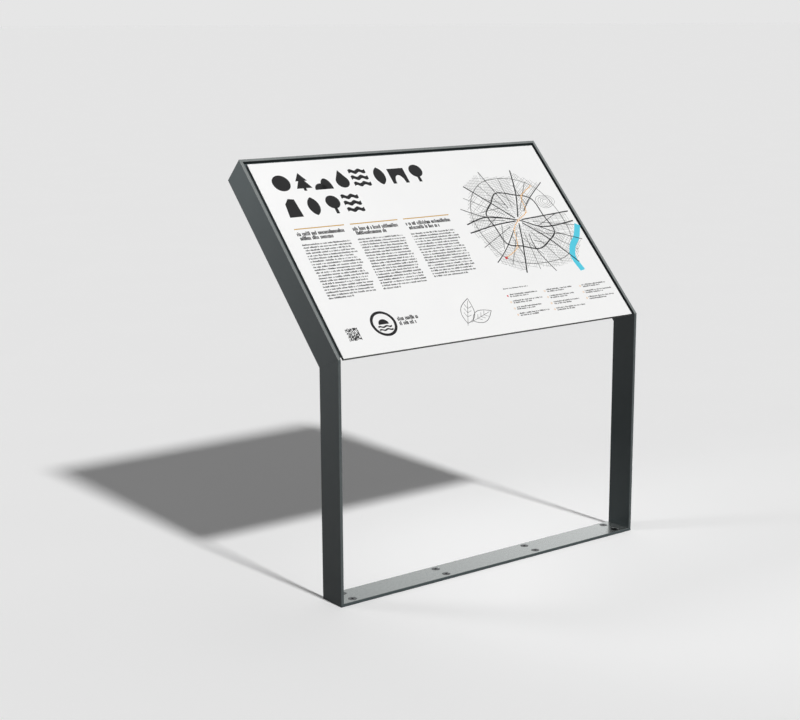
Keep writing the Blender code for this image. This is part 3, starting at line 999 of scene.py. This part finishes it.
def streets():
    """Fine streets: each quarter of the town has its own grid, with gaps in it."""
    draw = random.Random(STREET_SEED)
    lines = []
    for corners in built_quarters():
        growth = draw.uniform(*QUARTER_GROWTH)
        quarter = (MAP_CENTRE, *[between_centre_and(corner, growth) for corner in corners])
        middle = Vector((sum(x for x, y in quarter) / 3, sum(y for x, y in quarter) / 3))
        angle = math.radians(draw.uniform(0, 90))
        pitches = [draw.uniform(*span) for span in STREET_PITCHES]
        for turn, pitch in zip((angle, angle + math.pi / 2), pitches):
            along = Vector((math.cos(turn), math.sin(turn)))
            over = Vector((-along.y, along.x))
            for step in range(-STREETS_EACH_WAY, STREETS_EACH_WAY + 1):
                start = middle + over * pitch * step - along * STREET_REACH
                run = clip(start, start + along * STREET_REACH * 2, quarter)
                if not run or draw.random() < STREETS_LEFT_OUT:
                    continue
                first, last = run
                if (last - first).length < SHORTEST_STREET:
                    continue
                trim = (last - first) * draw.uniform(0.0, STREET_TRIM)
                lines.append([tuple(first + trim), tuple(last - trim)])
    return lines


def lanes():
    """Middling streets: the outer ring, links between the boulevards and spurs out of the centre."""
    draw = random.Random(LANE_SEED)
    ring = smooth_line([between_centre_and(corner, OUTER_RING_SHARE) for corner in TOWN_EDGE], 5, True)
    lines = [ring + [ring[0]]]
    for corner, following in built_quarters():
        start = between_centre_and(corner, draw.uniform(*LINK_START_SHARES))
        end = between_centre_and(following, draw.uniform(*LINK_END_SHARES))
        lines.append([start, end])
        middle = ((corner[0] + following[0]) / 2, (corner[1] + following[1]) / 2)
        start = between_centre_and(middle, SPUR_START_SHARE)
        lines.append([start, between_centre_and(middle, draw.uniform(*SPUR_END_SHARES))])
    return lines


def bent_road(draw, corner, start_share, bend_share, swerve):
    """Road out of the centre to a corner of the town, with a bend in it."""
    x, y = between_centre_and(corner, bend_share)
    bend = (x + draw.uniform(-swerve, swerve), y + draw.uniform(-swerve, swerve))
    return smooth_line([between_centre_and(corner, start_share), bend, corner], 7)


def boulevards():
    """Main roads: every other way out of the centre, the ring about it and one road across."""
    draw = random.Random(BOULEVARD_SEED)
    course = (BOULEVARD_START_SHARE, BOULEVARD_BEND_SHARE, BOULEVARD_SWERVE)
    lines = [bent_road(draw, corner, *course) for corner in TOWN_EDGE[::2]]
    ring = [between_centre_and(corner, RING_SHARES[index % 2]) for index, corner in enumerate(TOWN_EDGE)]
    ring = smooth_line(ring, 5, True)
    return lines + [ring + [ring[0]], smooth_line(CROSS_ROAD, 7)]


def avenues():
    """Narrower main roads, between the boulevards."""
    draw = random.Random(AVENUE_SEED)
    lines = []
    for corner in TOWN_EDGE[1::2]:
        start_share = draw.uniform(*AVENUE_START_SHARES)
        lines.append(bent_road(draw, corner, start_share, AVENUE_BEND_SHARE, AVENUE_SWERVE))
    return lines


def contours():
    """Height lines of the hill in the park."""
    lines = []
    for ring, radius in enumerate(CONTOUR_RADII):
        line = []
        for step in range(CONTOUR_STEPS):
            angle = 2 * math.pi * step / CONTOUR_STEPS
            wobble = 1 + 0.10 * math.sin(2 * angle + ring * 0.4) + 0.06 * math.sin(3 * angle + 1)
            x = HILL_PLACE[0] + radius * wobble * math.cos(angle)
            y = HILL_PLACE[1] + radius * wobble * HILL_SQUEEZE * math.sin(angle)
            line.append((x, y))
        lines.append(line)
    return lines


def leaf_drawing():
    """Line drawing of two leaves on a twig."""
    edges = []
    veins = []
    for left, bottom, lean, length in LEAVES:
        along = Vector((math.cos(math.radians(lean)), math.sin(math.radians(lean))))
        over = Vector((-along.y, along.x))
        base = Vector((left, bottom))
        edge = []
        for step in range(40):
            turn = step / 40
            share = turn * 2 if turn <= 0.5 else 2 - turn * 2
            side = 1 if turn <= 0.5 else -1
            bulge = length * LEAF_BULGE * math.sin(math.pi * share**0.85)
            edge.append(tuple(base + along * length * share + over * bulge * side))
        edges.append(edge)
        veins.append([tuple(base - along * LEAF_STALK), tuple(base + along * length * LEAF_RIB_SHARE)])
        for share in VEIN_SHARES:
            root = base + along * length * share
            for side in (-1, 1):
                tip = root + (along + over * side) * length * VEIN_LENGTH
                veins.append([tuple(root), tuple(tip)])
    return [strokes(edges, LEAF_EDGE_WIDTH, INK_TOP, True), strokes(veins, VEIN_WIDTH, INK_TOP)]


def mosaic(material):
    """Square of tiles in the lower left corner."""
    values = {"Tiles": MOSAIC_SIDE, "Tile": TILE_PITCH, "Top": INK_TOP, "Seed": MOSAIC_SEED}
    tiles = grow(mosaic_tree(), material, values)
    tiles.transform(Matrix.Translation((*MOSAIC_PLACE, 0)))
    return [tiles]


def emblem(tree, material):
    """Plain round sign of a sun over water, with two bold rows beside it."""
    x, y = EMBLEM_CENTRE
    ring = strokes([disc(EMBLEM_CENTRE, EMBLEM_RADIUS, 56)], EMBLEM_RING_WIDTH, INK_TOP, True)
    sun = arc((x, y - 2), EMBLEM_SUN_RADIUS, 0, 180, 24)
    water = [ripple_band(x - 20, y + level, 40, 1.6, 4.5, 16) for level in (-20, -11)]
    shape = (EMBLEM_WORDS_WIDTH, 2, HEAD_LINE_PITCH, *BOLD_LETTERS, *EMBLEM_ENDS)
    rows = word_block(tree, material, EMBLEM_WORDS, *shape, EMBLEM_SEED)
    return [ring, slabs([sun] + water, INK_TOP), rows]


def route(material):
    """Dashed route through the town."""
    places = smooth_line(ROUTE, 8)
    steps = [(index, index + 1) for index in range(len(places) - 1)]
    line = bpy.data.meshes.new("route_line")
    line.from_pydata([(x, y, (ROUTE_TOP - INK_SINK) / 2) for x, y in places], steps, [])
    values = {"Dash Pitch": DASH_PITCH, "Dash Length": DASH_LENGTH, "Dash Width": DASH_WIDTH}
    return [grow(dashes_tree(), material, {**values, "Top": ROUTE_TOP}, line)]


def stop_discs(stop_radius, mark_radius, top):
    """A disc at each stop after the start, and at each of the legend's marks but the first."""
    discs = [disc(stop, stop_radius) for stop in ROUTE[1:]]
    discs += [disc(mark, mark_radius) for mark in legend_marks()[1:]]
    return [slabs(discs, top)]


def sight(tree):
    """1 for the rays that see the studio itself or its reflection, 0 for those that carry its light."""
    path = add(tree, "ShaderNodeLightPath").outputs
    seen = add(tree, "ShaderNodeMath", (path["Is Camera Ray"], path["Is Glossy Ray"]), operation="ADD")
    inputs = (seen, path["Is Transmission Ray"])
    return add(tree, "ShaderNodeMath", inputs, operation="ADD", use_clamp=True)


def floor_material():
    """Matt studio floor: pale to the eye, darker to light that bounces off it onto the frame."""
    material, tree, spot = new_material("studio_floor")
    pale = clouded(tree, spot, 0.4, 2.0, "#fafafa", "#fcfcfc")
    colour = add(tree, "ShaderNodeMix", (sight(tree), linear("#505050"), pale), data_type="RGBA")
    return end_material(material, {"Base Color": colour, "Roughness": 0.9, "Specular IOR Level": 0.0})


def add_floor():
    """Plain pale floor."""
    bm = bmesh.new()
    bmesh.ops.create_circle(bm, cap_ends=True, segments=FLOOR_SIDES, radius=FLOOR_RADIUS)
    mesh = mesh_of(bm)
    mesh.materials.append(floor_material())
    new_object("studio_floor", mesh)


def add_lamps():
    """Plain soft light: a key and a back light from afar, and one lamp beside the left arm."""
    for name, towards, level, angle in (
        ("key_light", KEY_TOWARDS, KEY_LEVEL, KEY_SPREAD),
        ("back_light", BACK_TOWARDS, BACK_LEVEL, BACK_SPREAD),
    ):
        data = bpy.data.lights.new(name, "SUN")
        data.energy = level * math.pi
        data.angle = math.radians(angle)
        new_object(name, data).rotation_euler = Vector(towards).to_track_quat("Z", "Y").to_euler()
    data = bpy.data.lights.new("side_light", "SPOT")
    data.energy = SIDE_WATTS
    data.shadow_soft_size = SIDE_RADIUS
    data.spot_size = math.radians(SIDE_CONE)
    data.spot_blend = 1.0
    turn = (Vector(SIDE_PLACE) - Vector(SIDE_AIM)).to_track_quat("Z", "Y").to_matrix().to_4x4()
    new_object("side_light", data).matrix_world = Matrix.Translation(SIDE_PLACE) @ turn


def add_air():
    """Pale air that meets the floor at the horizon, and gives a little light from all round."""
    world = bpy.data.worlds.new("studio_air")
    world.use_nodes = True
    tree = world.node_tree
    tree.nodes.clear()
    light = add(tree, "ShaderNodeBackground", {"Color": linear("#ffffff"), "Strength": AIR_LEVEL})
    view = add(tree, "ShaderNodeBackground", {"Color": linear("#e6e6e6"), "Strength": 1.0})
    both = add(tree, "ShaderNodeMixShader", (sight(tree), light, view))
    add(tree, "ShaderNodeOutputWorld", {"Surface": both})
    bpy.context.scene.world = world


def add_camera():
    """Camera at the photograph's place."""
    data = bpy.data.cameras.new("photo_camera")
    data.sensor_width = SENSOR_WIDTH
    data.lens = SENSOR_WIDTH * FOCAL_PIXELS / IMAGE_WIDTH
    camera = new_object("photo_camera", data)
    turn = Matrix.Rotation(CAMERA_TURN, 4, "Z")
    pitch = Matrix.Rotation(math.pi / 2 + CAMERA_PITCH, 4, "X")
    roll = Matrix.Rotation(CAMERA_ROLL, 4, "Z")
    camera.matrix_world = Matrix.Translation(CAMERA_PLACE) @ turn @ pitch @ roll
    bpy.context.scene.camera = camera


def add_print():
    """Everything that is printed on the board, ink by ink."""
    face = face_matrix()
    words = word_rows_tree()
    black = ink("black_ink", "#1c1c1d", "#222223")
    text_black = ink("text_ink", "#2e2e2f", "#353536")
    ochre = ink("ochre_ink", "#c2994a", "#c8a054")
    orange = ink("orange_ink", "#e2a85c", "#e6b069")
    cyan = ink("cyan_ink", "#52c8df", "#5bcde3")
    red = ink("red_ink", "#c8373a", "#cf4042")
    street_grey = ink("street_grey_ink", "#8d8e8d", "#979897")
    lane_grey = ink("lane_grey_ink", "#5c5d5c", "#656665")
    paper = ink("paper_white_ink", "#f0f0ef", "#f2f2f1")
    height_lines = strokes(contours(), CONTOUR_WIDTH, LANE_TOP, True)
    side_roads = strokes(avenues(), AVENUE_WIDTH, AVENUE_TOP)
    starts = [disc(ROUTE[0], START_RADIUS), disc(legend_marks()[0], MARK_RADIUS)]
    for name, parts, material in (
        ("print_headline", headline(), black),
        ("print_rules", rules(), ochre),
        ("print_column_heads", column_heads(words, black), black),
        ("print_column_text", column_text(words, text_black), text_black),
        ("print_legend_text", legend_text(words, text_black), text_black),
        ("print_emblem", emblem(words, black), black),
        ("print_leaf_drawing", leaf_drawing(), black),
        ("print_mosaic", mosaic(black), black),
        ("print_map_streets", [strokes(streets(), STREET_WIDTH, STREET_TOP)], street_grey),
        ("print_map_lanes", [strokes(lanes(), LANE_WIDTH, LANE_TOP), height_lines], lane_grey),
        ("print_map_river", [strokes([smooth_line(RIVER)], RIVER_WIDTH, RIVER_TOP)], cyan),
        ("print_map_roads", [strokes(boulevards(), BOULEVARD_WIDTH, ROAD_TOP), side_roads], black),
        ("print_map_route", route(orange), orange),
        ("print_start_dots", [slabs(starts, STOP_TOP)], red),
        ("print_stop_rims", stop_discs(STOP_RADIUS, MARK_RADIUS, STOP_TOP), orange),
        ("print_stop_hearts", stop_discs(STOP_HEART_RADIUS, MARK_HEART_RADIUS, STOP_HEART_TOP), paper),
    ):
        finish_piece(name, parts, material, place=face)


def add_welds(coat):
    """Welds that join the bars."""
    finish_piece("mitre_welds", mitre_seams(), coat)
    finish_piece("bar_end_welds", end_seams(), coat)
    finish_piece("weld_beads", weld_beads(bead_tree(), coat), coat, smooth=True)


add_camera()
finishes = {
    "coated_steel": powder_coat(),
    "white_laminate": laminate(),
    "stainless_steel": stainless(),
    "brass": brass(),
}
paint_nodes(finishes)
add_welds(finishes["coated_steel"])
add_print()
add_floor()
add_lamps()
add_air()
bpy.context.scene.view_settings.view_transform = "Standard"
